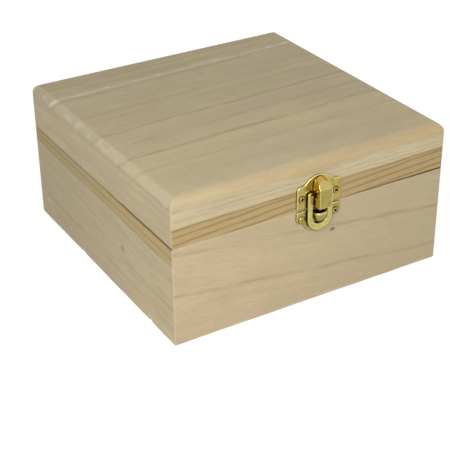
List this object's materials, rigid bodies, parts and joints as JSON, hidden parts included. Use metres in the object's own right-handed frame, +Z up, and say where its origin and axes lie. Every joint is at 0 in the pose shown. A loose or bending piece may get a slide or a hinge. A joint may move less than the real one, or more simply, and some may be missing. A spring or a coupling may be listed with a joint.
{
  "type": "hinged wooden keepsake box",
  "caption": "Square box of pale unfinished wood with mitred walls, a round-edged hinged lid on stop hinges and a brass toggle latch on the front.",
  "frame": {"origin": "centre of the flat base, on the surface that the box stands on", "axes": "+X to the right along the front, +Y from the front to the hinged back, +Z up"},
  "size_m": [0.178, 0.1926, 0.089],
  "materials": {
    "wood": "bare, sanded",
    "plywood": "bare, sanded",
    "brass": "bright plated"
  },
  "bodies": {
    "box_body": {"body_front_wall": "wood", "body_back_wall": "wood", "body_left_wall": "wood", "body_right_wall": "wood", "bottom_panel": "plywood", "left_hinge_body_leaf": "brass", "left_hinge_pin": "brass", "right_hinge_body_leaf": "brass", "right_hinge_pin": "brass", "hinge_body_screws": "brass", "keeper_plate": "brass", "keeper_screws": "brass"},
    "lid": {"lid_front_wall": "wood", "lid_back_wall": "wood", "lid_left_wall": "wood", "lid_right_wall": "wood", "lid_top_back_board": "wood", "lid_top_mid_back_board": "wood", "lid_top_mid_front_board": "wood", "lid_top_front_board": "wood", "left_hinge_lid_leaf": "brass", "right_hinge_lid_leaf": "brass", "hinge_lid_screws": "brass", "latch_plate": "brass", "latch_plate_screws": "brass", "lever_pin": "brass"},
    "latch_lever": {"latch_lever": "brass"},
    "latch_loop": {"latch_loop": "brass"}
  },
  "joints": [
    {"name": "lid_swing", "type": "hinge", "parent": "box_body", "child": "lid", "pos_m": [0, 0.091, 0.0602], "axis": [-1, 0, 0], "range_deg": [0, 105]},
    {"name": "lever_throw", "type": "hinge", "parent": "lid", "child": "latch_lever", "pos_m": [0.002, -0.0936, 0.0634], "axis": [1, 0, 0], "range_deg": [0, 120]},
    {"name": "loop_turn", "type": "hinge", "parent": "latch_lever", "child": "latch_loop", "pos_m": [0.002, -0.0918, 0.0696], "axis": [1, 0, 0], "range_deg": [-120, 0]}
  ],
  "couplings": [
    {"joint": "loop_turn", "follows": "lever_throw", "ratio": -1}
  ]
}
